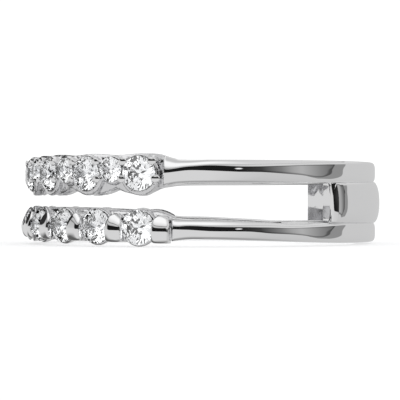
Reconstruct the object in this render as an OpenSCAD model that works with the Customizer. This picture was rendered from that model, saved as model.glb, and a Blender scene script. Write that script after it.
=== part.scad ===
// Double ring: two bands joined at the back by a domed bridge, with stones across the front.
// The finger axis is +Z, the stones face -X and the bridge faces +X.
// The origin is the middle of the finger hole. Angles on the head run from its front middle.

/* [Finger hole] */
// Radius of the finger hole
finger_r = 8.65; // [8.4:0.05:8.8]

/* [Upper band] */
// Height of the band's middle over the ring's middle
upper_z = 1.61; // [1.5:0.01:1.7]
// Width of the plain part of the band
upper_w = 1.2; // [1:0.01:1.3]
// Outer radius of the plain part of the band
shank_r = 9.85; // [9.7:0.05:9.95]
// Angle from the front middle to where the plain part begins
upper_end = 77.2; // [77:0.1:77.6]
// Angle between neighbouring stones
upper_pitch = 9.85; // [9.8:0.05:10]

/* [Lower band] */
// Depth of the band's middle under the ring's middle
lower_z = 1.465; // [1.4:0.005:1.5]
// Width of the plain part of the band
lower_w = 1.07; // [1:0.01:1.2]
// Lean of the whole band towards the upper one at the front
lower_lean = 1.4; // [1:0.1:1.8]
// Angle from the front middle to where the plain part begins
lower_end = 79.6; // [79.4:0.1:80]
// Angle between neighbouring stones
lower_pitch = 15.3; // [15.1:0.05:15.4]

/* [Back bridge] */
// Outer radius of the bridge's dome
bridge_r = 10.08; // [9.95:0.01:10.2]
// Width of the bridge between its two seams
bridge_w = 2.3; // [2.2:0.05:2.4]
// Angle from the back middle to each end of the bridge
bridge_half = 43; // [40:0.5:46]

/* [Stones] */
// Diameter of the large stones
large_d = 1.86; // [1.8:0.01:1.88]
// Diameter of the small stones
small_d = 1.35; // [1.25:0.01:1.37]
// Radius at which the tables of the large stones lie
large_table_r = 10.05; // [10:0.01:10.1]
// Radius at which the tables of the small stones lie
small_table_r = 10; // [9.95:0.01:10.05]
// Height of the large stones' middles in the upper band
large_z = 1.5; // [1.45:0.01:1.55]
// Height of the small stones' middles in the upper band
small_z = 1.7; // [1.65:0.01:1.72]
// Space between a stone and its seat
seat_gap = 0.03; // [0.02:0.005:0.04]

/* [Settings] */
// Radius of the cup under each large stone of the upper band
large_cup_r = 1.06; // [1.03:0.01:1.1]
// Lowest point of the swag under each large stone of the upper band
swag_low = 0.34; // [0.3:0.01:0.4]
// Radius of the swags
swag_r = 3.6; // [3.4:0.1:3.8]
// Radius of the cup under each small stone
small_cup_r = 0.78; // [0.75:0.01:0.82]
// Radius of the cup under each stone of the lower band
lower_cup_r = 1; // [0.98:0.01:1.05]
// Radius of a prong
prong_r = 0.2; // [0.16:0.01:0.22]
// Outer radius of the prongs' tips
prong_top_r = 10.03; // [9.98:0.01:10.06]
// Outer radius of the polished bars between the lower stones
bar_r = 10.22; // [10.15:0.01:10.3]
// Width of the bars across the band
bar_w = 1.56; // [1.5:0.01:1.65]
// Angle that one bar takes up
bar_angle = 4.5; // [4:0.1:4.8]

/* [Hidden] */
$fn = 96;
overlap = 0.35;
cup_depth = 0.2;
hole_h = 8;
room_h = 1.2;
small_in_row = 7;
large_in_row = 8;
lower_in_row = 10;
bars_in_row = 11;
base_r = 9.35;
base_past_end = 0.8;
upper_base_low = 0.74;
upper_base_high = 2.4;
swag_face_r = 9.38;
swag_past_end = 0.8;
swag_spare = 0.3;
lower_base_w = 1.6;
upper_cup_z = 1.43;
upper_cup_top_r = 9.62;
lower_cup_top_r = 9.55;
shank_dome = 0.36;
bar_dome = 0.42;
bridge_dome = 0.4;
bridge_step = 0.05;

// Proportions of a round brilliant, as shares of its diameter or radius
crown_share = 0.15;
girdle_share = 0.03;
pavilion_share = 0.43;
table_share = 0.58;
crown_corner_share = 0.8;
pavilion_corner_share = 0.22;
facets = 8;
step = 360 / facets;

// Prongs at one junction: share of the way from the large to the small stone, and height
prong_spots = [[0.52, 2.11], [0.56, 1.22]];
// Prongs past the last large stone: angle from its middle, and height
end_prongs = [[4.65, 2.11], [5.8, 1.14]];

large_angles = [for (i = [0 : large_in_row - 1]) (2 * i + 1 - large_in_row) * upper_pitch];
small_angles = [for (i = [0 : small_in_row - 1]) (2 * i + 1 - small_in_row) * upper_pitch];
lower_angles = [for (i = [0 : lower_in_row - 1]) (i - (lower_in_row - 1) / 2) * lower_pitch];
bar_angles = [for (i = [0 : bars_in_row - 1]) (i - (bars_in_row - 1) / 2) * lower_pitch];

// Turns a piece made along +X to an angle on the head, counted from the front middle
module at_front(angle, z = 0) {
    rotate([0, 0, 180 + angle]) translate([0, 0, z]) children();
}

// Stands a piece made along +Z out from the finger axis, with its foot at a radius
module outward(radius) {
    translate([radius, 0, 0]) rotate([0, 90, 0]) children();
}

// The lower band leans as a whole towards the upper one at the front
module lean_lower() {
    rotate([0, lower_lean, 0]) children();
}

// Section of a band with flat sides and a domed outer face, in the plane of radius and height
module band_section(outer_r, width, dome, inner = finger_r - overlap) {
    dome_r = (pow(width / 2, 2) + dome * dome) / (2 * dome);
    translate([inner, -width / 2]) square([outer_r - dome - inner, width]);
    intersection() {
        translate([outer_r - dome, -width / 2]) square([2 * dome, width]);
        translate([outer_r - dome_r, 0]) circle(dome_r);
    }
}

// Part of a band between two angles, counted from the front middle
module arc(from, to) {
    rotate([0, 0, 180 + from]) rotate_extrude(angle = to - from) children();
}

// Height at which a brilliant's star, bezel and girdle facets meet, over the top of its girdle
function corner_height(d) =
    crown_share * d * (1 - crown_corner_share * cos(step / 2)) / (1 - table_share);

// Round brilliant with its table up and the top of its girdle at height 0
module brilliant(d) {
    r = d / 2;
    crown = crown_share * d;
    girdle = girdle_share * d;
    pavilion = pavilion_share * d;
    corner_h = corner_height(d);
    low_h = girdle + pavilion * (1 - pavilion_corner_share * cos(step / 2));
    table = [for (i = [0 : facets - 1])
        [table_share * r * cos(step * (i + 0.5)), table_share * r * sin(step * (i + 0.5)), crown]];
    corners = [for (i = [0 : facets - 1])
        [crown_corner_share * r * cos(step * i), crown_corner_share * r * sin(step * i), corner_h]];
    girdle_top = [for (i = [0 : 2 * facets - 1]) [r * cos(step * i / 2), r * sin(step * i / 2), 0]];
    girdle_low = [for (p = girdle_top) [p[0], p[1], -girdle]];
    low_corners = [for (i = [0 : facets - 1]) [
        pavilion_corner_share * r * cos(step * i),
        pavilion_corner_share * r * sin(step * i),
        -low_h
    ]];
    culet = [0, 0, -girdle - pavilion];
    n = facets;
    m = 2 * facets;
    c0 = n;
    g0 = 2 * n;
    b0 = g0 + m;
    p0 = b0 + m;
    tip = p0 + n;
    faces = concat(
        [[for (i = [0 : n - 1]) i]],
        [for (i = [0 : n - 1]) [i, c0 + (i + 1) % n, (i + 1) % n]],
        [for (i = [0 : n - 1]) [i, c0 + i, g0 + 2 * i + 1]],
        [for (i = [0 : n - 1]) [i, g0 + 2 * i + 1, c0 + (i + 1) % n]],
        [for (i = [0 : n - 1]) [c0 + i, g0 + 2 * i, g0 + 2 * i + 1]],
        [for (i = [0 : n - 1]) [c0 + i, g0 + (2 * i + m - 1) % m, g0 + 2 * i]],
        [for (i = [0 : m - 1]) [g0 + i, b0 + i, b0 + (i + 1) % m]],
        [for (i = [0 : m - 1]) [g0 + i, b0 + (i + 1) % m, g0 + (i + 1) % m]],
        [for (i = [0 : n - 1]) [b0 + 2 * i, p0 + i, b0 + 2 * i + 1]],
        [for (i = [0 : n - 1]) [b0 + (2 * i + m - 1) % m, p0 + i, b0 + 2 * i]],
        [for (i = [0 : n - 1]) [b0 + 2 * i + 1, p0 + i, tip]],
        [for (i = [0 : n - 1]) [b0 + 2 * i + 1, tip, p0 + (i + 1) % n]]
    );
    points = concat(table, corners, girdle_top, girdle_low, low_corners, [culet]);
    polyhedron(points, [for (f = faces) [for (i = [len(f) - 1 : -1 : 0]) f[i]]]);
}

// Room for a brilliant of that diameter, open upwards from a share of its radius
module stone_room(d, open_share) {
    r = d / 2 + seat_gap;
    open_r = open_share * r;
    open_h = open_share < 1 ? corner_height(d) + seat_gap : 2 * seat_gap;
    low = girdle_share * d + seat_gap;
    rotate_extrude() polygon([
        [0, -low - pavilion_share * d - seat_gap],
        [r, -low],
        [r, seat_gap],
        [open_r, open_h],
        [open_r, room_h],
        [0, room_h]
    ]);
}

// Radius at which a stone's girdle lies, from where its table lies
function girdle_radius(d, table_r) = table_r - crown_share * d;

// Each stone's place
module place_large(i) {
    at_front(large_angles[i], large_z) outward(girdle_radius(large_d, large_table_r)) children();
}

module place_small(i) {
    at_front(small_angles[i], small_z) outward(girdle_radius(small_d, small_table_r)) children();
}

module place_lower(i) {
    lean_lower()
        at_front(lower_angles[i], -lower_z) outward(girdle_radius(large_d, large_table_r)) children();
}

// One prong with a round tip, standing out from the setting
module prong(angle, z) {
    foot_r = base_r - overlap;
    tip_r = prong_top_r - prong_r;
    at_front(angle, z) outward(foot_r) {
        cylinder(h = tip_r - foot_r, r = prong_r);
        translate([0, 0, tip_r - foot_r]) sphere(prong_r);
    }
}

module upper_prongs() {
    for (a = large_angles) {
        for (side = [-1, 1]) {
            shared = abs(a + side * upper_pitch) < max(large_angles);
            if (shared)
                for (spot = prong_spots) prong(a + side * spot[0] * upper_pitch, spot[1]);
            else
                for (spot = end_prongs) prong(a + side * spot[0], spot[1]);
        }
    }
}

// Round cup under a stone, from inside the base out to a radius
module cup(r, top_r) {
    foot_r = finger_r - cup_depth;
    outward(foot_r) cylinder(h = top_r - foot_r, r = r);
}

// Lower edge of the upper setting: an arc under each large stone, which meet at the small stones
module swags() {
    foot_r = finger_r - overlap;
    last = max(large_angles) + swag_past_end;
    intersection() {
        arc(-last, last) translate([foot_r, 0]) square([swag_face_r - foot_r, upper_cup_z]);
        union() {
            for (a = large_angles)
                at_front(a, swag_low + swag_r) outward(foot_r - swag_spare)
                    cylinder(h = swag_face_r - foot_r + 2 * swag_spare, r = swag_r);
        }
    }
}

// Stone setting of the upper band: a base with its swags, a cup under each stone and the prongs
module upper_setting() {
    foot_r = finger_r - overlap;
    arc(-upper_end - base_past_end, upper_end + base_past_end)
        translate([foot_r, upper_base_low]) square([base_r - foot_r, upper_base_high - upper_base_low]);
    swags();
    for (a = large_angles)
        at_front(a, upper_cup_z) cup(large_cup_r, upper_cup_top_r);
    for (a = small_angles)
        at_front(a, small_z) cup(small_cup_r, upper_cup_top_r);
    upper_prongs();
}

module upper_rooms() {
    for (i = [0 : large_in_row - 1]) place_large(i) stone_room(large_d, crown_corner_share);
    for (i = [0 : small_in_row - 1]) place_small(i) stone_room(small_d, crown_corner_share);
}

// Stone setting of the lower band: a base, a cup under each stone and the bars between
module lower_setting() {
    foot_r = finger_r - overlap;
    arc(-lower_end - base_past_end, lower_end + base_past_end)
        translate([foot_r, -lower_z - lower_base_w / 2]) square([base_r - foot_r, lower_base_w]);
    for (a = lower_angles)
        at_front(a, -lower_z) cup(lower_cup_r, lower_cup_top_r);
    for (a = bar_angles)
        arc(a - bar_angle / 2, a + bar_angle / 2)
            translate([0, -lower_z]) band_section(bar_r, bar_w, bar_dome);
}

module lower_rooms() {
    for (i = [0 : lower_in_row - 1]) place_lower(i) stone_room(large_d, 1);
}

// Plain part of both bands, round the back
module upper_shank() {
    arc(upper_end, 360 - upper_end) translate([0, upper_z]) band_section(shank_r, upper_w, shank_dome);
}

module lower_shank() {
    arc(lower_end, 360 - lower_end) translate([0, -lower_z]) band_section(shank_r, lower_w, shank_dome);
}

// Strip between the bands at the back, whose inner face stands back from the finger
module bridge() {
    arc(180 - bridge_half, 180 + bridge_half)
        band_section(bridge_r, bridge_w, bridge_dome, finger_r + bridge_step);
}

// All the metal: one soldered solid
module ring_metal() {
    color("silver") difference() {
        union() {
            difference() {
                upper_setting();
                upper_rooms();
            }
            lean_lower() lower_setting();
            upper_shank();
            lean_lower() lower_shank();
            bridge();
        }
        lower_rooms();
        cylinder(h = hole_h, r = finger_r, center = true);
    }
}

ring_metal();
for (i = [0 : large_in_row - 1])
    color("white") place_large(i) brilliant(large_d);
for (i = [0 : small_in_row - 1])
    color("white") place_small(i) brilliant(small_d);
for (i = [0 : lower_in_row - 1])
    color("white") place_lower(i) brilliant(large_d);
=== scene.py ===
import math

import bmesh
import bpy
import numpy as np
from mathutils import Euler, Matrix, Vector


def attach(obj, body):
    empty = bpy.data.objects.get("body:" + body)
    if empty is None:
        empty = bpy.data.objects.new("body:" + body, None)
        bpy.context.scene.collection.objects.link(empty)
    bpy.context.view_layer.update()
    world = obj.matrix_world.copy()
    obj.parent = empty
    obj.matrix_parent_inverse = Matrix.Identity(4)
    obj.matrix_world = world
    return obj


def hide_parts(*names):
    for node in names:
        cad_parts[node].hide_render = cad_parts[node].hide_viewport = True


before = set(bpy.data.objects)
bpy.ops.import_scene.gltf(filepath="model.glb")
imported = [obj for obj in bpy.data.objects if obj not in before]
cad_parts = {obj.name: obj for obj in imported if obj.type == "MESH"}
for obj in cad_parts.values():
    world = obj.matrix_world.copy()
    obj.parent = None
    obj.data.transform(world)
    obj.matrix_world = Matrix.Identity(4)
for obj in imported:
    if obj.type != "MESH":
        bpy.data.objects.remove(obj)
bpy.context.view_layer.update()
print("frame loaded,", len(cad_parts), "solids")

# Shapes are drawn in millimetres and turned to metres at the end of each piece.
# Angles on the ring count from the middle of the stones; 90 is the side that the camera sees.
ringValues = {
    "fingerRadius": 8.65,
    "bandRadius": 9.85,
    "leanDegrees": 1.4,
    "metresPerMm": 0.001,
    "mergeDistance": 0.0001,
    "sharpDegrees": 40,
}
lean = Matrix.Rotation(math.radians(ringValues["leanDegrees"]), 4, "Y")


# Drawing helpers

def onRing(angle, radius, height):
    turn = math.radians(angle)
    return Vector((-radius * math.cos(turn), -radius * math.sin(turn), height))


def smoothTable(rows, at):
    # Hermite curve through the rows of a table, whose first column is where each row lies
    rows = np.array(rows, float)
    x, y = rows[:, 0], rows[:, 1:]
    slope = np.gradient(y, x, axis=0)
    at = min(max(at, x[0]), x[-1])
    i = int(min(np.searchsorted(x, at, side="right") - 1, len(x) - 2))
    step = x[i + 1] - x[i]
    t = (at - x[i]) / step
    return ((2 * t**3 - 3 * t**2 + 1) * y[i] + (t**3 - 2 * t**2 + t) * step * slope[i]
            + (3 * t**2 - 2 * t**3) * y[i + 1] + (t**3 - t**2) * step * slope[i + 1])


def newObject(name, points, faces):
    mesh = bpy.data.meshes.new(name)
    mesh.from_pydata([tuple(p) for p in points], [], faces)
    piece = bpy.data.objects.new(name, mesh)
    bpy.context.scene.collection.objects.link(piece)
    return piece


def outwardFaces(piece):
    work = bmesh.new()
    work.from_mesh(piece.data)
    bmesh.ops.remove_doubles(work, verts=work.verts, dist=ringValues["mergeDistance"])
    bmesh.ops.recalc_face_normals(work, faces=work.faces)
    work.to_mesh(piece.data)
    work.free()


def skinLoops(name, loops, strips=False):
    # a closed skin over neighbouring loops; each end is one flat face, or strips from one side to the other
    count = len(loops[0])
    points = [p for loop in loops for p in loop]
    faces = []
    for row in range(len(loops) - 1):
        for j in range(count):
            k = (j + 1) % count
            faces.append((row * count + j, row * count + k, (row + 1) * count + k, (row + 1) * count + j))
    for first in (0, (len(loops) - 1) * count):
        if strips:
            faces += [(first + j, first + j + 1, first + count - 2 - j, first + count - 1 - j)
                      for j in range(count // 2 - 1)]
        else:
            faces.append(tuple(range(first, first + count)))
    piece = newObject(name, points, faces)
    outwardFaces(piece)
    return piece


closeToAxis = 0.001  # a turned piece closes on its axis through a ring too small to see


def turned(name, profile, steps):
    # a piece turned on a lathe: rows of (distance from its own axis, radius on the ring), standing along +X
    loops = []
    for away, radius in profile:
        loops.append([Vector((radius, away * math.cos(2 * math.pi * i / steps),
                              away * math.sin(2 * math.pi * i / steps))) for i in range(steps)])
    return skinLoops(name, loops)


def evaluated(piece):
    # the piece with its modifiers applied, as a plain mesh
    bpy.context.view_layer.update()
    graph = bpy.context.evaluated_depsgraph_get()
    mesh = bpy.data.meshes.new_from_object(piece.evaluated_get(graph))
    piece.modifiers.clear()
    piece.data = mesh
    return piece


def joined(name, pieces):
    # several meshes as one object, each kept as its own shell
    work = bmesh.new()
    for piece in pieces:
        work.from_mesh(piece.data)
    mesh = bpy.data.meshes.new(name)
    work.to_mesh(mesh)
    work.free()
    for piece in pieces:
        bpy.data.objects.remove(piece)
    whole = bpy.data.objects.new(name, mesh)
    bpy.context.scene.collection.objects.link(whole)
    return whole


def finished(piece, material):
    # from millimetres to metres, smooth faces with crisp edges, its material, and its place on the ring
    piece.data.transform(Matrix.Scale(ringValues["metresPerMm"], 4))
    piece.data.materials.clear()
    piece.data.materials.append(material)
    piece.data.shade_smooth()
    piece.data.set_sharp_from_angle(angle=math.radians(ringValues["sharpDegrees"]))
    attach(piece, "root")
    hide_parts("ring_metal")
    return piece


# Materials

def fadeToFinger(nodes, link, inside, place, ripple):
    # the ripple, faded out towards the smooth wall that lies on the finger
    flat, radius = nodes.new("ShaderNodeVectorMath"), nodes.new("ShaderNodeVectorMath")
    flat.operation, radius.operation = "MULTIPLY", "LENGTH"
    flat.inputs[1].default_value = (1.0, 1.0, 0.0)
    fade, height = nodes.new("ShaderNodeMapRange"), nodes.new("ShaderNodeMath")
    height.operation = "MULTIPLY"
    link(place, flat.inputs[0])
    link(flat.outputs["Vector"], radius.inputs[0])
    link(radius.outputs["Value"], fade.inputs["Value"])
    link(inside.outputs["Plain Radius"], fade.inputs["From Min"])
    link(inside.outputs["Ripple Radius"], fade.inputs["From Max"])
    link(ripple, height.inputs[0])
    link(fade.outputs["Result"], height.inputs[1])
    return height.outputs[0]


def polishMarks():
    # what a buffing wheel leaves: slow changes of gloss and a faint ripple
    group = bpy.data.node_groups.new("polishMarks", "ShaderNodeTree")
    face = group.interface
    for name, value in (("Scale", 900.0), ("Low Gloss", 0.02), ("High Gloss", 0.06), ("Grain", 6.0),
                        ("Plain Radius", 0.0087), ("Ripple Radius", 0.0089)):
        face.new_socket(name, in_out="INPUT", socket_type="NodeSocketFloat").default_value = value
    for name in ("Roughness", "Height"):
        face.new_socket(name, in_out="OUTPUT", socket_type="NodeSocketFloat")
    nodes, link = group.nodes, group.links.new
    inside, outside = nodes.new("NodeGroupInput"), nodes.new("NodeGroupOutput")
    place = nodes.new("ShaderNodeTexCoord")
    cloudy, fine = nodes.new("ShaderNodeTexNoise"), nodes.new("ShaderNodeTexNoise")
    finer = nodes.new("ShaderNodeMath")
    finer.operation = "MULTIPLY"
    spread = nodes.new("ShaderNodeMapRange")
    for noise in (cloudy, fine):
        link(place.outputs["Object"], noise.inputs["Vector"])
    link(inside.outputs["Scale"], cloudy.inputs["Scale"])
    link(inside.outputs["Scale"], finer.inputs[0])
    link(inside.outputs["Grain"], finer.inputs[1])
    link(finer.outputs[0], fine.inputs["Scale"])
    link(fine.outputs["Fac"], spread.inputs["Value"])
    link(inside.outputs["Low Gloss"], spread.inputs["To Min"])
    link(inside.outputs["High Gloss"], spread.inputs["To Max"])
    link(spread.outputs["Result"], outside.inputs["Roughness"])
    link(fadeToFinger(nodes, link, inside, place.outputs["Object"], cloudy.outputs["Fac"]),
         outside.inputs["Height"])
    return group


def whiteMetal(name, marks, values):
    material = bpy.data.materials.new(name)
    material.use_nodes = True
    nodes, link = material.node_tree.nodes, material.node_tree.links.new
    shader = nodes["Principled BSDF"]
    shader.inputs["Metallic"].default_value = 1.0
    shader.inputs["Base Color"].default_value = (*values["colour"], 1.0)
    mark = nodes.new("ShaderNodeGroup")
    mark.node_tree = marks
    for socket in ("Scale", "Low Gloss", "High Gloss", "Grain"):
        mark.inputs[socket].default_value = values[socket]
    bump = nodes.new("ShaderNodeBump")
    bump.inputs["Strength"].default_value = values["bump"]
    bump.inputs["Distance"].default_value = values["bumpDepth"]
    link(mark.outputs["Height"], bump.inputs["Height"])
    link(mark.outputs["Roughness"], shader.inputs["Roughness"])
    link(bump.outputs["Normal"], shader.inputs["Normal"])
    return material


metalValues = {
    "buffed": {"colour": (0.93, 0.93, 0.935), "Scale": 700.0, "Low Gloss": 0.015, "High Gloss": 0.05,
               "Grain": 6.0, "bump": 0.3, "bumpDepth": 6e-6},
    "cast": {"colour": (0.8, 0.8, 0.81), "Scale": 3000.0, "Low Gloss": 0.04, "High Gloss": 0.14,
             "Grain": 4.0, "bump": 0.8, "bumpDepth": 6e-5},
}
stoneValues = {"ior": 2.12, "clear": (1.0, 1.0, 1.0), "faint": (0.95, 0.965, 0.98), "cloudScale": 900.0}


def clearStone():
    material = bpy.data.materials.new("clearStone")
    material.use_nodes = True
    nodes, link = material.node_tree.nodes, material.node_tree.links.new
    shader = nodes["Principled BSDF"]
    shader.inputs["IOR"].default_value = stoneValues["ior"]
    shader.inputs["Transmission Weight"].default_value = 1.0
    shader.inputs["Roughness"].default_value = 0.0
    place, cloud, tint = (nodes.new(kind) for kind in
                          ("ShaderNodeTexCoord", "ShaderNodeTexNoise", "ShaderNodeMix"))
    tint.data_type = "RGBA"
    cloud.inputs["Scale"].default_value = stoneValues["cloudScale"]
    tint.inputs["A"].default_value = (*stoneValues["clear"], 1.0)
    tint.inputs["B"].default_value = (*stoneValues["faint"], 1.0)
    link(place.outputs["Object"], cloud.inputs["Vector"])
    link(cloud.outputs["Fac"], tint.inputs["Factor"])
    link(tint.outputs["Result"], shader.inputs["Base Color"])
    return material


marks = polishMarks()
buffedMetal = whiteMetal("buffedMetal", marks, metalValues["buffed"])
castMetal = whiteMetal("castMetal", marks, metalValues["cast"])
stoneMaterial = clearStone()
print("materials made")


# The two plain bands and the bridge

bandValues = {
    "faceSteps": 56,
    "stepDegrees": 0.6,
    "innerRound": 0.1,
    "innerSteps": 6,
    "endRound": 0.16,
    "endSteps": 8,
    # angle, lower edge, crest, upper edge, dome and fullness under the crest, the same over it
    "upper": [
        (76.6, 0.84, 1.50, 2.40, 0.24, 2.1, 0.46, 1.5),
        (78.6, 0.88, 1.53, 2.33, 0.26, 2.0, 0.45, 1.5),
        (80.6, 0.93, 1.56, 2.25, 0.27, 2.0, 0.44, 1.7),
        (84.0, 0.965, 1.61, 2.215, 0.28, 2.0, 0.4, 2.0),
        (90.0, 0.98, 1.595, 2.21, 0.28, 2.0, 0.28, 2.0),
        (104.0, 0.985, 1.60, 2.21, 0.28, 2.1, 0.28, 2.1),
        (118.0, 0.99, 1.61, 2.21, 0.28, 2.5, 0.28, 2.5),
        (130.0, 1.0, 1.62, 2.21, 0.28, 3.1, 0.28, 3.1),
        (140.0, 0.99, 1.63, 2.21, 0.26, 3.4, 0.3, 3.4),
        (152.0, 1.03, 1.65, 2.21, 0.24, 3.4, 0.34, 3.4),
        (166.0, 1.08, 1.66, 2.21, 0.22, 3.4, 0.36, 3.4),
        (180.0, 1.11, 1.66, 2.21, 0.22, 3.4, 0.36, 3.4),
    ],
    "lower": [
        (79.3, -2.09, -1.46, -0.85, 0.28, 2.1, 0.36, 1.7),
        (81.6, -2.04, -1.48, -0.89, 0.28, 2.0, 0.36, 1.7),
        (84.0, -2.0, -1.51, -0.915, 0.28, 2.0, 0.34, 1.9),
        (90.0, -1.995, -1.575, -0.93, 0.28, 2.0, 0.34, 1.9),
        (104.6, -2.055, -1.58, -1.04, 0.28, 2.1, 0.25, 2.1),
        (110.0, -2.085, -1.655, -1.08, 0.28, 2.2, 0.23, 2.2),
        (117.5, -2.13, -1.66, -1.15, 0.28, 2.5, 0.27, 2.5),
        (130.0, -2.2, -1.69, -1.14, 0.28, 3.1, 0.28, 3.1),
        (140.0, -2.24, -1.69, -1.12, 0.3, 3.4, 0.26, 3.4),
        (152.0, -2.255, -1.7, -1.14, 0.34, 3.4, 0.24, 3.4),
        (166.0, -2.265, -1.72, -1.18, 0.36, 3.4, 0.22, 3.4),
        (180.0, -2.27, -1.73, -1.2, 0.36, 3.4, 0.22, 3.4),
    ],
}
bridgeValues = {
    "radius": 10.1,
    "startDegrees": 134.65,
    "insideStart": 137.6,
    # the end's profile at mid height: degrees past the start, and how far the face has sunk there
    "end": [(0.0, 0.48), (0.02, 0.38), (0.2, 0.276), (0.95, 0.178), (1.75, 0.095), (1.95, 0.082),
            (3.3, 0.03), (5.2, 0.0)],
    "endSteps": 42,
    "endAtSeams": 0.55,  # share of the profile's length that is left at the seams
    "innerRound": 0.08,
    "faceColumns": 60,
    "rows": 44,
    "seamCover": 0.02,
    "insideLift": 0.05,
    # angle, share of the height under the crest, dome and fullness under the crest, the same over it
    "shape": [
        (134.0, 0.35, 0.30, 2.5, 0.16, 2.2),
        (142.0, 0.35, 0.31, 2.4, 0.18, 2.0),
        (160.0, 0.49, 0.36, 2.1, 0.36, 2.1),
        (180.0, 0.5, 0.36, 2.1, 0.36, 2.1),
    ],
}


def bandSection(row, outer, innerRadius, lift=0.0):
    # (radius, height) round a band: domed face, then the inner side with its two softened corners
    values = bandValues
    low, crest, high, lowDome, lowPower, highDome, highPower = row
    points = []
    for i in range(values["faceSteps"] + 1):
        s = math.sin(math.pi * (i / values["faceSteps"] - 0.5))
        over = s > 0
        dome, power = (highDome, highPower) if over else (lowDome, lowPower)
        reach = high - crest if over else crest - low
        points.append((outer - dome * (1 - (1 - abs(s)**power)**(1 / power)), crest + reach * s))
    soft, steps = values["innerRound"], values["innerSteps"]
    for height, start in ((high - soft, 90), (low + lift + soft, 180)):
        for i in range(steps + 1):
            turn = math.radians(start + 90 * i / steps)
            points.append((innerRadius + soft + soft * math.cos(turn), height + soft * math.sin(turn)))
    return points


def quarterSink(into, depth):
    # how far a face sinks on a quarter of a circle that ends where into is 1
    into = min(max(into, 0), 1)
    return depth * (1 - math.sqrt(1 - (1 - into)**2))


def degreesAlong(length):
    return math.degrees(length / ringValues["bandRadius"])


def bandAngles(start, reach, endSteps, plain):
    # half of the way round, from a rounded end to the back, and its mirror image
    near = [start + degreesAlong(reach) * (1 - math.cos(math.pi / 2 * i / endSteps))
            for i in range(endSteps)]
    half = near + list(plain)
    return half + [180.0] + [360 - a for a in reversed(half)]


def plainBand(name, rows):
    values = bandValues
    start, reach = rows[0][0], values["endRound"]
    plain = np.arange(start + degreesAlong(reach), 180, values["stepDegrees"])
    loops = []
    for angle in bandAngles(start, reach, values["endSteps"], plain):
        folded = min(angle, 360 - angle)
        outer = ringValues["bandRadius"] - quarterSink((folded - start) / degreesAlong(reach), reach)
        section = bandSection(smoothTable(rows, folded), outer, ringValues["fingerRadius"])
        loops.append([onRing(angle, r, z) for r, z in section])
    return skinLoops(name, loops)


def bridgeFace(angle, level):
    # radius and height of the bridge's outer face at a level from 0 at one seam to 1 at the other
    values = bridgeValues
    low = smoothTable(bandValues["lower"], angle)[2] - values["seamCover"]
    high = smoothTable(bandValues["upper"], angle)[0] + values["seamCover"]
    share, lowDome, lowPower, highDome, highPower = smoothTable(values["shape"], angle)
    over = level > share
    away = (level - share) / (1 - share) if over else (share - level) / share
    dome, power = (highDome, highPower) if over else (lowDome, lowPower)
    sink = dome * (1 - max(1 - away**power, 0)**(1 / power))
    return values["radius"] - sink, low + level * (high - low)


def withMirror(half):
    # the spots from the near end to the back, and on to the far end
    return half + [(360 - angle, radius, height) for angle, radius, height in half[-2::-1]]


def bridgeLevel(level):
    # the outline of the bridge at one level: the outer face from end to end, and back along the finger
    values = bridgeValues
    start, insideStart = values["startDegrees"], values["insideStart"]
    middle = math.sqrt(max(1 - (2 * level - 1)**2, 0))
    stretch = values["endAtSeams"] + (1 - values["endAtSeams"]) * middle
    profile = [(i, *row) for i, row in enumerate(values["end"])]
    ends = [smoothTable(profile, place) for place in np.linspace(0, len(profile) - 1, values["endSteps"])]
    face = [(start + stretch * past, sink) for past, sink in ends]
    face += [(angle, 0.0) for angle in np.linspace(face[-1][0], 180, values["faceColumns"])[1:]]
    inner = ringValues["fingerRadius"] + values["insideLift"]
    outside, inside = [], []
    for angle, sink in face:
        radius, height = bridgeFace(angle, level)
        turn = insideStart + (angle - start) * (180 - insideStart) / (180 - start)
        soft = quarterSink((turn - insideStart) / degreesAlong(values["innerRound"]), values["innerRound"])
        outside.append((angle, radius - sink, height))
        inside.append((turn, inner + soft, height))
    return [onRing(*spot) for spot in withMirror(outside) + withMirror(inside)[::-1]]


def bridgeShape():
    rows = bridgeValues["rows"]
    levels = [(1 - math.cos(math.pi * i / rows)) / 2 for i in range(rows + 1)]
    return skinLoops("backBridge", [bridgeLevel(level) for level in levels], strips=True)


finished(plainBand("upperBand", bandValues["upper"]), buffedMetal)
finished(plainBand("lowerBand", bandValues["lower"]), buffedMetal)
finished(bridgeShape(), buffedMetal)
print("bands and bridge made")


# Pieces repeated along a row of stones

upperPitch, lowerPitch = 9.85, 15.3  # degrees from stone to stone, as the solids have them
stoneRows = {
    "largeAngles": [upperPitch * i for i in range(-7, 8, 2)],
    "largeHeight": 1.5,
    "smallAngles": [upperPitch * i for i in range(-6, 7, 2)],
    "smallHeight": 1.7,
    "lowerAngles": [lowerPitch * (i + 0.5) for i in range(-5, 5)],
    "barAngles": [lowerPitch * i for i in range(-5, 6)],
    "lowerHeight": -1.465,
}


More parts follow.
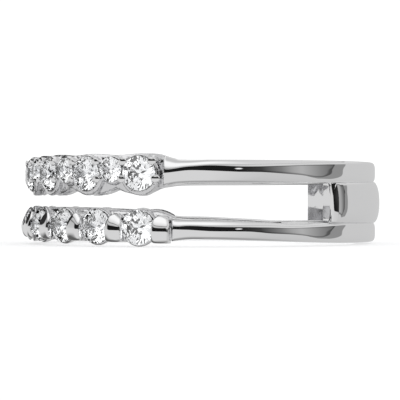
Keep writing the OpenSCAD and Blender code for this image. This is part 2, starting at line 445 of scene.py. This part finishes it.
def rowTree():
    # sets one shape out along the ring at each point of a row
    tree = bpy.data.node_groups.new("setOutAlongRing", "GeometryNodeTree")
    tree.is_modifier = True
    face = tree.interface
    face.new_socket("Geometry", in_out="INPUT", socket_type="NodeSocketGeometry")
    face.new_socket("Shape", in_out="INPUT", socket_type="NodeSocketObject")
    for name, value in (("Depth", 1.0), ("Width", 1.0), ("Height", 1.0), ("Lean", 0.0)):
        face.new_socket(name, in_out="INPUT", socket_type="NodeSocketFloat").default_value = value
    face.new_socket("Metal", in_out="INPUT", socket_type="NodeSocketMaterial")
    face.new_socket("Geometry", in_out="OUTPUT", socket_type="NodeSocketGeometry")
    nodes, link = tree.nodes, tree.links.new
    inside, outside = nodes.new("NodeGroupInput"), nodes.new("NodeGroupOutput")
    turn = nodes.new("GeometryNodeInputNamedAttribute")
    turn.data_type = "FLOAT"
    turn.inputs["Name"].default_value = "turn"
    spin, size, tip = (nodes.new("ShaderNodeCombineXYZ") for _ in range(3))
    shape = nodes.new("GeometryNodeObjectInfo")
    spread = nodes.new("GeometryNodeInstanceOnPoints")
    leanOver = nodes.new("GeometryNodeTransform")
    real = nodes.new("GeometryNodeRealizeInstances")
    paint = nodes.new("GeometryNodeSetMaterial")
    link(turn.outputs["Attribute"], spin.inputs["Z"])
    for socket, axis in (("Depth", "X"), ("Width", "Y"), ("Height", "Z")):
        link(inside.outputs[socket], size.inputs[axis])
    link(inside.outputs["Lean"], tip.inputs["Y"])
    link(inside.outputs["Shape"], shape.inputs["Object"])
    link(inside.outputs["Geometry"], spread.inputs["Points"])
    link(shape.outputs["Geometry"], spread.inputs["Instance"])
    link(spin.outputs["Vector"], spread.inputs["Rotation"])
    link(size.outputs["Vector"], spread.inputs["Scale"])
    link(spread.outputs["Instances"], leanOver.inputs["Geometry"])
    link(tip.outputs["Vector"], leanOver.inputs["Rotation"])
    link(leanOver.outputs["Geometry"], real.inputs["Geometry"])
    link(real.outputs["Geometry"], paint.inputs["Geometry"])
    link(inside.outputs["Metal"], paint.inputs["Material"])
    link(paint.outputs["Geometry"], outside.inputs["Geometry"])
    return tree


alongRing = rowTree()


def setOut(name, shape, spots, metal, size=(1.0, 1.0, 1.0), leans=False):
    # spots are (angle, height); the result is one plain mesh
    piece = newObject(name, [(0, 0, height) for _, height in spots], [])
    turns = piece.data.attributes.new("turn", "FLOAT", "POINT")
    turns.data.foreach_set("value", [math.pi + math.radians(angle) for angle, _ in spots])
    rule = piece.modifiers.new("row", "NODES")
    rule.node_group = alongRing
    sockets = {s.name: s.identifier for s in alongRing.interface.items_tree if s.in_out == "INPUT"}
    rule[sockets["Shape"]] = shape
    rule[sockets["Depth"]], rule[sockets["Width"]], rule[sockets["Height"]] = size
    rule[sockets["Lean"]] = math.radians(ringValues["leanDegrees"]) if leans else 0.0
    rule[sockets["Metal"]] = metal
    evaluated(piece)
    bpy.data.objects.remove(shape)
    return piece


# Claws of the upper row

clawValues = {
    "topRadius": 10.06,
    "capCurve": 0.54,  # radius of the cap's crown
    "capRound": 0.07,
    "capDepth": 0.2,
    "halfSize": 0.25,
    "heightShare": 0.8,
    "footRadius": 9.1,
    "footSize": 0.13,
    # share of the way from the large to the small stone, and height
    "between": [(0.5, 2.12), (0.54, 1.19)],
    # degrees past the last large stone, and height
    "atEnds": [(4.65, 2.13), (5.8, 1.2)],
    "steps": 32,
    "crownSteps": 8,
    "roundSteps": 6,
}


def clawSpots():
    spots = []
    last = stoneRows["largeAngles"][-1]
    for angle in stoneRows["largeAngles"]:
        for side in (-1, 1):
            if abs(angle + side * upperPitch) > last:
                spots += [(angle + side * past, height) for past, height in clawValues["atEnds"]]
            else:
                spots += [(angle + side * share * upperPitch, height)
                          for share, height in clawValues["between"]]
    return spots


def clawShape():
    # a post with a shallow cap, whose edge is rounded
    values = clawValues
    top, size, soft, curve = (values[key] for key in ("topRadius", "halfSize", "capRound", "capCurve"))
    flat = size - soft
    under = top - values["capDepth"]
    shoulder = top - flat**2 / (2 * curve)
    profile = [(closeToAxis, values["footRadius"]), (values["footSize"], values["footRadius"]),
               (values["footSize"], under - soft), (size - soft, under)]
    for i in range(values["roundSteps"] + 1):
        turn = math.pi / 2 * i / values["roundSteps"]
        profile.append((flat + soft * math.cos(turn), shoulder - soft + soft * math.sin(turn)))
    for i in range(1, values["crownSteps"] + 1):
        away = max(flat * (1 - i / values["crownSteps"]), closeToAxis)
        profile.append((away, top - away**2 / (2 * curve)))
    return turned("clawShape", profile, values["steps"])


claws = setOut("claws", clawShape(), clawSpots(), buffedMetal, (1.0, 1.0, clawValues["heightShare"]))
finished(claws, buffedMetal)
print("claws made")


# Bars of the lower row

barValues = {
    "topRadius": 10.26,
    "footRadius": 9.0,
    "low": -0.80,
    "crest": -0.15,
    "high": 0.68,
    "halfWidth": 0.49,
    "neckWidth": 0.355,
    "neckRadii": (9.8, 9.9),
    "lowDome": 0.34,
    "lowFullness": 2.0,
    "highDome": 0.35,
    "highFullness": 1.3,
    "sideRound": 0.16,
    "sideFullness": 2.5,
    "edgeStep": 0.02,
    "archFullness": 2.8,
    "footFullness": 7.0,
    "poleShare": 0.999,
    "rows": 44,
    "columns": 20,
}


def sinkAtEdge(crest):
    # keeps the widest line of a bar a hair under its rounded side, where the face has sunk
    values = barValues
    return max(values["neckRadii"][1] - (crest - values["sideRound"]) + values["edgeStep"], 0)


def barShape():
    values = barValues
    loops = []
    for i in range(values["rows"] + 1):
        s = values["poleShare"] * math.sin(math.pi * (i / values["rows"] - 0.5))
        over = s > 0
        full = values["archFullness"] if over else values["footFullness"]
        width = values["halfWidth"] * (1 - abs(s)**full)**(1 / full)
        neck = min(width, values["neckWidth"])
        power = values["highFullness"] if over else values["lowFullness"]
        dome = values["highDome"] if over else values["lowDome"]
        reach = values["high"] - values["crest"] if over else values["crest"] - values["low"]
        height = values["crest"] + reach * s
        crest = values["topRadius"] - dome * (1 - (1 - abs(s)**power)**(1 / power))
        neckFoot, neckTop = values["neckRadii"]
        loop = [Vector((values["footRadius"], -neck, height)), Vector((neckFoot, -neck, height)),
                Vector((neckTop - sinkAtEdge(crest), -width, height))]
        for j in range(values["columns"] + 1):
            u = math.sin(math.pi * (j / values["columns"] - 0.5))
            side = values["sideFullness"]
            sink = values["sideRound"] * (1 - (1 - abs(u)**side)**(1 / side))
            loop.append(Vector((crest - sink, width * u, height)))
        loop += [Vector((neckTop - sinkAtEdge(crest), width, height)), Vector((neckFoot, neck, height)),
                 Vector((values["footRadius"], neck, height))]
        loops.append(loop)
    return skinLoops("barShape", loops)


bars = setOut("bars", barShape(), [(a, stoneRows["lowerHeight"]) for a in stoneRows["barAngles"]],
              buffedMetal, leans=True)
finished(bars, buffedMetal)
print("bars made")


# The cast settings that hold the stones

galleryValues = {
    "voxel": 0.05,
    "smoothTimes": 6,
    "smoothShare": 0.5,
    "boreSnap": 0.07,
    "roomSteps": 64,
    "swagLow": 0.34,
    "swagRadius": 3.6,
    "upperTop": (2.57, 2.49),  # over the large and the small stones
    "upperFace": 9.38,
    # past the last large stone: angle, lower edge, upper edge, and the radius of the face
    "upperEnd": [(66.4, 0.33, 2.565, 9.38), (68.0, 0.345, 2.57, 9.38), (70.0, 0.4, 2.57, 9.38),
                 (72.0, 0.5, 2.56, 9.38), (73.6, 0.61, 2.54, 9.3), (75.2, 0.74, 2.5, 9.02),
                 (77.6, 0.85, 2.38, 8.98)],
    "lowerEnd": [(0, -2.245, -0.53, 9.38), (56.0, -2.245, -0.53, 9.38), (64.0, -2.24, -0.56, 9.38),
                 (70.0, -2.23, -0.56, 9.38), (74.0, -2.21, -0.52, 9.38), (77.0, -2.18, -0.62, 9.32),
                 (80.2, -2.09, -0.84, 9.2)],
    "crestShare": 0.6,
    "undersideRise": 0.34,  # the underside climbs this far from the face to the finger
    "shape": (0.16, 2.6, 0.26, 2.3),
    "sections": 320,
    "largeCup": {"height": 1.42, "rim": 1.1, "top": 9.66},
    "smallCup": {"height": 1.69, "rim": 0.78, "top": 9.64},
    "lowerCup": {"height": -1.465, "rim": 1.01, "top": 9.6},
    "cupSteps": 48,
    "cupFoot": [(0.62, 8.7), (0.8, 8.95), (0.93, 9.2)],  # share of the rim, and the radius on the ring
    "cupLip": [(1.0, 0.16), (0.99, 0.05), (0.94, 0.0)],  # share of the rim, and the depth under the top
    "rooms": {"large": (0.945, 9.68, 8.86), "small": (0.685, 9.7, 9.12), "top": 10.6},
}


def upperEdges(angle):
    # the lower edge hangs in a swag under each large stone and comes to a point under each small one
    values = galleryValues
    if abs(angle) > values["upperEnd"][0][0]:
        return smoothTable(values["upperEnd"], abs(angle))
    away = min(abs(angle - large) for large in stoneRows["largeAngles"])
    reach = values["upperFace"] * math.sin(math.radians(away))
    radius = values["swagRadius"]
    low = values["swagLow"] + radius - math.sqrt(radius**2 - reach**2)
    overLarge, overSmall = values["upperTop"]
    high = overSmall + (overLarge - overSmall) * math.cos(math.pi / 2 * away / upperPitch)**2
    return low, high, values["upperFace"]


def lowerEdges(angle):
    return smoothTable(galleryValues["lowerEnd"], abs(angle))


def baseStrip(name, edges, end):
    loops = []
    lowDome, lowPower, highDome, highPower = galleryValues["shape"]
    for angle in np.linspace(-end, end, galleryValues["sections"]):
        low, high, outer = edges(angle)
        crest = low + galleryValues["crestShare"] * (high - low)
        section = bandSection((low, crest, high, lowDome, lowPower, highDome, highPower), outer,
                              ringValues["fingerRadius"], galleryValues["undersideRise"])
        loops.append([onRing(angle, r, z) for r, z in section])
    return skinLoops(name, loops)


def cupShape(values):
    rim, top = values["rim"], values["top"]
    foot = [(share * rim, radius) for share, radius in galleryValues["cupFoot"]]
    lip = [(share * rim, top - depth) for share, depth in galleryValues["cupLip"]]
    profile = [(closeToAxis, foot[0][1])] + foot + lip + [(closeToAxis, top)]
    return turned("cupShape", profile, galleryValues["cupSteps"])


def roomShape(kind):
    wide, girdle, culet = galleryValues["rooms"][kind]
    top = galleryValues["rooms"]["top"]
    profile = [(closeToAxis, culet), (wide, girdle), (wide, top), (closeToAxis, top)]
    return turned("roomShape", profile, galleryValues["roomSteps"])


def castOver(piece):
    # one skin over all the shells, softened as a casting is, with a true bore
    values = galleryValues
    cover = piece.modifiers.new("skin", "REMESH")
    cover.mode, cover.voxel_size = "VOXEL", values["voxel"]
    soften = piece.modifiers.new("soften", "SMOOTH")
    soften.factor, soften.iterations = values["smoothShare"], values["smoothTimes"]
    evaluated(piece)
    bore = ringValues["fingerRadius"]
    for vertex in piece.data.vertices:
        away = math.hypot(vertex.co.x, vertex.co.y)
        if away < bore + values["boreSnap"]:
            vertex.co.x *= bore / away
            vertex.co.y *= bore / away
    return piece


def cutRooms(piece, rooms):
    cut = piece.modifiers.new("rooms", "BOOLEAN")
    cut.operation, cut.solver, cut.object = "DIFFERENCE", "MANIFOLD", rooms
    evaluated(piece)
    bpy.data.objects.remove(rooms)
    return piece


def spotsAt(angles, height):
    return [(angle, height) for angle in angles]


def upperGallery():
    large, small = stoneRows["largeAngles"], stoneRows["smallAngles"]
    shells = [
        baseStrip("upperBase", upperEdges, galleryValues["upperEnd"][-1][0]),
        setOut("largeCups", cupShape(galleryValues["largeCup"]),
               spotsAt(large, galleryValues["largeCup"]["height"]), castMetal),
        setOut("smallCups", cupShape(galleryValues["smallCup"]),
               spotsAt(small, galleryValues["smallCup"]["height"]), castMetal),
    ]
    rooms = joined("upperRooms", [
        setOut("largeRooms", roomShape("large"), spotsAt(large, stoneRows["largeHeight"]), castMetal),
        setOut("smallRooms", roomShape("small"), spotsAt(small, stoneRows["smallHeight"]), castMetal),
    ])
    return cutRooms(castOver(joined("upperGallery", shells)), rooms)


def lowerGallery():
    base = baseStrip("lowerBase", lowerEdges, galleryValues["lowerEnd"][-1][0])
    base.data.transform(lean)
    cups = setOut("lowerCups", cupShape(galleryValues["lowerCup"]),
                  spotsAt(stoneRows["lowerAngles"], stoneRows["lowerHeight"]), castMetal, leans=True)
    rooms = setOut("lowerRooms", roomShape("large"),
                   spotsAt(stoneRows["lowerAngles"], stoneRows["lowerHeight"]), castMetal, leans=True)
    return cutRooms(castOver(joined("lowerGallery", [base, cups])), rooms)


finished(upperGallery(), castMetal)
finished(lowerGallery(), castMetal)
print("galleries cast")


# Bright rims round the seats of the large stones

rimValues = {"radius": 0.965, "thickness": 0.03, "height": 9.67, "steps": 64, "roundSteps": 10}


def rimShape():
    values = rimValues
    points, faces = [], []
    for i in range(values["steps"]):
        around = 2 * math.pi * i / values["steps"]
        for j in range(values["roundSteps"]):
            turn = 2 * math.pi * j / values["roundSteps"]
            away = values["radius"] + values["thickness"] * math.cos(turn)
            points.append((values["height"] + values["thickness"] * math.sin(turn),
                           away * math.cos(around), away * math.sin(around)))
    for i in range(values["steps"]):
        for j in range(values["roundSteps"]):
            a, b = i, (i + 1) % values["steps"]
            c, d = j, (j + 1) % values["roundSteps"]
            n = values["roundSteps"]
            faces.append((a * n + c, b * n + c, b * n + d, a * n + d))
    piece = newObject("rimShape", points, faces)
    outwardFaces(piece)
    return piece


rims = setOut("seatRims", rimShape(), spotsAt(stoneRows["largeAngles"], stoneRows["largeHeight"]),
              buffedMetal)
finished(rims, buffedMetal)
print("rims made")


# The stones keep their solids

for name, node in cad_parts.items():
    if name != "ring_metal":
        node.data.materials.clear()
        node.data.materials.append(stoneMaterial)
        node.data.shade_flat()
print("stones polished")


# Studio: a bright tent with two dark panels, a pale table and the camera

studioValues = {
    "tableHeight": -2.39e-3,
    "tableHalf": 0.5,
    "tableColour": (0.8, 0.805, 0.815),
    "tableGlow": (0.05, 0.48, 0.5),  # for all rays, and more for the camera and through the stones
    # brightness by elevation: in front of the ring and on the stones' side, and towards the bridge
    "front": [(-90, 0.34), (-75, 0.34), (-55, 0.7), (4, 0.7), (29, 0.5), (34, 0.62), (39, 0.85), (45, 1.02),
              (60, 1.02), (72, 0.58)],
    "plain": [(-90, 0.34), (-75, 0.36), (-55, 0.56), (0, 0.61), (16, 0.61), (26, 0.69), (60, 0.69),
              (75, 0.64)],
    "toPlain": (5, 40),
    # dark panel in front of the ring: elevation of its edges, and its brightness, by azimuth
    "panelLow": [(-82, 28), (-66, 5), (0, 5), (23, -1), (38, -1.1), (52, -3.6), (67, -6), (78, -10),
                 (84, -9), (88, -4), (93, 1), (99, 18)],
    "panelHigh": [(-82, 28), (-27, 28.5), (0, 29.5), (23, 22), (38, 20), (67, 19), (82, 16.5), (100, 16)],
    "panelTone": [(23, 0.012), (38, 0.05), (52, 0.22), (60, 0.38), (67, 0.46), (75, 0.36), (82, 0.27),
                  (95, 0.14)],
    "panelEdge": 0.02,
    "panelEdgeTone": 0.5,
    # a grey band under the panel's end
    "haloLow": [(60, 29), (66, 10), (72, -9), (82, -17), (93, -14.7), (103, -1.5), (112, 18)],
    "haloTone": 0.28,
    # a second dark panel, on the stones' side and behind them
    "sideLow": [(-179, 3), (-165, 5), (-150, 7), (-125, 13), (-112, 20), (-106, 34)],
    "sideHigh": [(-179, 3), (-176, 18), (-166, 24), (-158, 34), (-106, 34)],
    "sideTone": 0.03,
    "softEdge": 0.008,  # how far the edges of the panels blur, on the scale of height01
    # small lamp seen in the panel: azimuth and elevation, half sizes and brightness
    "lampPlace": (22.8, 11.6),
    "lampHalf": (2.9, 3.6),
    "lampCore": 0.6,
    "lampLight": 0.95,
    # the floor is darker behind the stones: azimuths, elevations and brightness
    "shadeAround": [(-180, 0), (-160, 1), (-105, 1), (-75, 0)],
    "shadeUnder": (-12, -26),
    "shadeTone": 0.12,
    "behind": 1.1,  # what the camera sees behind the ring
    # what shows through a stone: brightness, that of its dark slit, the slit's elevations, and its soft edge
    "sparkle": 1.75,
    "sparkleSlit": 0.1,
    "sparkleDegrees": (-5, 15),
    "sparkleSoft": 2,
}
cameraValues = {
    "distance": 0.118,
    "turnDegrees": 1.0,
    "right": -0.000114,
    "up": 0.000086,
    "lens": 185.85,
    "clipStart": 0.001,
}


def tentRamp(nodes, stops):
    ramp = nodes.new("ShaderNodeValToRGB")
    ramp.color_ramp.interpolation = "LINEAR"
    points = ramp.color_ramp.elements
    while len(points) > 1:
        points.remove(points[-1])
    for i, (place, value) in enumerate(stops):
        point = points[0] if i == 0 else points.new(place)
        point.position = place
        point.color = (value, value, value, 1.0)
    return ramp


def height01(degrees):
    # where an elevation lies on a ramp over the sine of the elevation
    return (math.sin(math.radians(degrees)) + 1) / 2


def mapped(nodes, link, value, low, high, toLow=0.0, toHigh=1.0):
    span = nodes.new("ShaderNodeMapRange")
    span.inputs["From Min"].default_value, span.inputs["From Max"].default_value = low, high
    span.inputs["To Min"].default_value, span.inputs["To Max"].default_value = toLow, toHigh
    link(value, span.inputs["Value"])
    return span.outputs["Result"]


def mixed(nodes, link, share, first, second):
    mix = nodes.new("ShaderNodeMix")
    mix.data_type = "RGBA"
    link(share, mix.inputs["Factor"])
    for socket, value in (("A", first), ("B", second)):
        if isinstance(value, float):
            mix.inputs[socket].default_value = (value, value, value, 1.0)
        else:
            link(value, mix.inputs[socket])
    return mix.outputs["Result"]


def worked(nodes, link, operation, first, second):
    node = nodes.new("ShaderNodeMath")
    node.operation = operation
    link(first, node.inputs[0])
    if isinstance(second, float):
        node.inputs[1].default_value = second
    else:
        link(second, node.inputs[1])
    return node.outputs[0]


def turn01(degrees):
    # where an azimuth lies on a ramp that goes once round
    return degrees / 360 + 0.5


def byAzimuth(nodes, link, azimuth, stops):
    ramp = tentRamp(nodes, [(turn01(degrees), value) for degrees, value in stops])
    link(azimuth, ramp.inputs["Fac"])
    return ramp.outputs["Color"]


def byElevation(nodes, link, height, stops):
    ramp = tentRamp(nodes, [(height01(degrees), value) for degrees, value in stops])
    link(height, ramp.inputs["Fac"])
    return ramp.outputs["Color"]


def panelDepth(nodes, link, azimuth, height, low, high):
    # how deep a direction lies inside a panel; below 0 it lies outside
    edges = [byAzimuth(nodes, link, azimuth, [(degrees, height01(edge)) for degrees, edge in stops])
             for stops in (low, high)]
    return worked(nodes, link, "MINIMUM", worked(nodes, link, "SUBTRACT", height, edges[0]),
                  worked(nodes, link, "SUBTRACT", edges[1], height))


def lampShare(nodes, link, azimuth, height):
    # 1 in the middle of the small lamp, 0 outside it
    values = studioValues
    spot, away, shrink, length = (nodes.new("ShaderNode" + kind)
                                  for kind in ("CombineXYZ", "VectorMath", "VectorMath", "VectorMath"))
    away.operation, shrink.operation, length.operation = "SUBTRACT", "DIVIDE", "LENGTH"
    link(azimuth, spot.inputs["X"])
    link(height, spot.inputs["Y"])
    around, up = values["lampPlace"]
    halfAround, halfUp = values["lampHalf"]
    link(spot.outputs[0], away.inputs[0])
    away.inputs[1].default_value = (turn01(around), height01(up), 0.0)
    link(away.outputs[0], shrink.inputs[0])
    shrink.inputs[1].default_value = (turn01(halfAround) - turn01(0), height01(halfUp) - height01(0), 1.0)
    link(shrink.outputs[0], length.inputs[0])
    return mapped(nodes, link, length.outputs["Value"], 1.0, values["lampCore"])


def plainTent(nodes, link, azimuth, height):
    # the tent's cloth: brighter above, plainer towards the bridge, darker low behind the stones
    values = studioValues
    toPlain = mapped(nodes, link, azimuth, *(turn01(degrees) for degrees in values["toPlain"]))
    tent = mixed(nodes, link, toPlain, byElevation(nodes, link, height, values["front"]),
                 byElevation(nodes, link, height, values["plain"]))
    shadeStart, shadeFull = (height01(degrees) for degrees in values["shadeUnder"])
    shade = worked(nodes, link, "MULTIPLY", byAzimuth(nodes, link, azimuth, values["shadeAround"]),
                   mapped(nodes, link, height, shadeStart, shadeFull))
    return mixed(nodes, link, shade, tent, values["shadeTone"])


def withPanels(nodes, link, azimuth, height, tent):
    # the tent with its dark panels hung in it, each over the one before
    values = studioValues
    panel = panelDepth(nodes, link, azimuth, height, values["panelLow"], values["panelHigh"])
    halo = panelDepth(nodes, link, azimuth, height, values["haloLow"], values["panelHigh"])
    side = panelDepth(nodes, link, azimuth, height, values["sideLow"], values["sideHigh"])
    edge = mapped(nodes, link, panel, values["panelEdge"], 2 * values["panelEdge"],
                  values["panelEdgeTone"], 1.0)
    inner = worked(nodes, link, "MULTIPLY", byAzimuth(nodes, link, azimuth, values["panelTone"]), edge)
    inner = mixed(nodes, link, lampShare(nodes, link, azimuth, height), inner, values["lampLight"])
    for depth, tone in ((halo, values["haloTone"]), (panel, inner), (side, values["sideTone"])):
        tent = mixed(nodes, link, mapped(nodes, link, depth, -values["softEdge"], 0.0), tent, tone)
    return tent


def brighterTent(nodes, link, height):
    # what light that has passed through a stone comes from: bright, with a dark slit
    values = studioValues
    low, high = values["sparkleDegrees"]
    soft, bright, dark = values["sparkleSoft"], values["sparkle"], values["sparkleSlit"]
    return byElevation(nodes, link, height, [(low - soft, bright), (low, dark), (high, dark),
                                             (high + soft, bright)])


def makeTent():
    world = bpy.data.worlds.new("tent")
    bpy.context.scene.world = world
    world.use_nodes = True
    nodes, link = world.node_tree.nodes, world.node_tree.links.new
    place, parts = nodes.new("ShaderNodeTexCoord"), nodes.new("ShaderNodeSeparateXYZ")
    link(place.outputs["Generated"], parts.inputs["Vector"])
    # azimuth from the camera's direction, positive towards the bridge
    front = worked(nodes, link, "MULTIPLY", parts.outputs["Y"], -1.0)
    sideways = worked(nodes, link, "ARCTAN2", parts.outputs["X"], front)
    azimuth = mapped(nodes, link, sideways, -math.pi, math.pi)
    height = mapped(nodes, link, parts.outputs["Z"], -1.0, 1.0)
    tent = withPanels(nodes, link, azimuth, height, plainTent(nodes, link, azimuth, height))
    ray = nodes.new("ShaderNodeLightPath")
    lit = mixed(nodes, link, ray.outputs["Is Transmission Ray"], tent, brighterTent(nodes, link, height))
    # the camera itself sees plain white behind the ring
    seen = mixed(nodes, link, ray.outputs["Is Camera Ray"], lit, studioValues["behind"])
    link(seen, nodes["Background"].inputs["Color"])
    return world


def makeTable():
    values = studioValues
    half, height = values["tableHalf"], values["tableHeight"]
    table = newObject("table", [(-half, -half, height), (half, -half, height), (half, half, height),
                                (-half, half, height)], [(0, 1, 2, 3)])
    material = bpy.data.materials.new("paleTable")
    material.use_nodes = True
    nodes, link = material.node_tree.nodes, material.node_tree.links.new
    nodes.remove(nodes["Principled BSDF"])
    matt, glow, both = (nodes.new("ShaderNode" + kind) for kind in ("BsdfDiffuse", "Emission", "AddShader"))
    matt.inputs["Color"].default_value = (*values["tableColour"], 1.0)
    ray = nodes.new("ShaderNodeLightPath")
    forAll, forCamera, forStones = values["tableGlow"]
    lift, more = nodes.new("ShaderNodeMath"), nodes.new("ShaderNodeMath")
    lift.operation = more.operation = "MULTIPLY_ADD"
    lift.inputs[1].default_value, lift.inputs[2].default_value = forCamera, forAll
    more.inputs[1].default_value = forStones
    link(ray.outputs["Is Camera Ray"], lift.inputs[0])
    link(ray.outputs["Is Transmission Ray"], more.inputs[0])
    link(lift.outputs[0], more.inputs[2])
    link(more.outputs[0], glow.inputs["Strength"])
    link(matt.outputs[0], both.inputs[0])
    link(glow.outputs[0], both.inputs[1])
    link(both.outputs[0], nodes["Material Output"].inputs["Surface"])
    table.data.materials.append(material)
    table.visible_glossy = False  # the tent's own ramp is what the metal shows under the horizon


def makeCamera():
    values = cameraValues
    turn = math.radians(values["turnDegrees"])
    ahead = Vector((math.sin(turn), math.cos(turn), 0))
    right = Vector((math.cos(turn), -math.sin(turn), 0))
    camera = bpy.data.objects.new("camera", bpy.data.cameras.new("camera"))
    bpy.context.scene.collection.objects.link(camera)
    camera.location = -values["distance"] * ahead + values["right"] * right + Vector((0, 0, values["up"]))
    camera.rotation_euler = Euler((math.pi / 2, 0, -turn))
    camera.data.lens = values["lens"]
    camera.data.clip_start = values["clipStart"]
    bpy.context.scene.camera = camera


makeTent()
makeTable()
makeCamera()
bpy.context.scene.view_settings.view_transform = "Standard"
print("studio set")
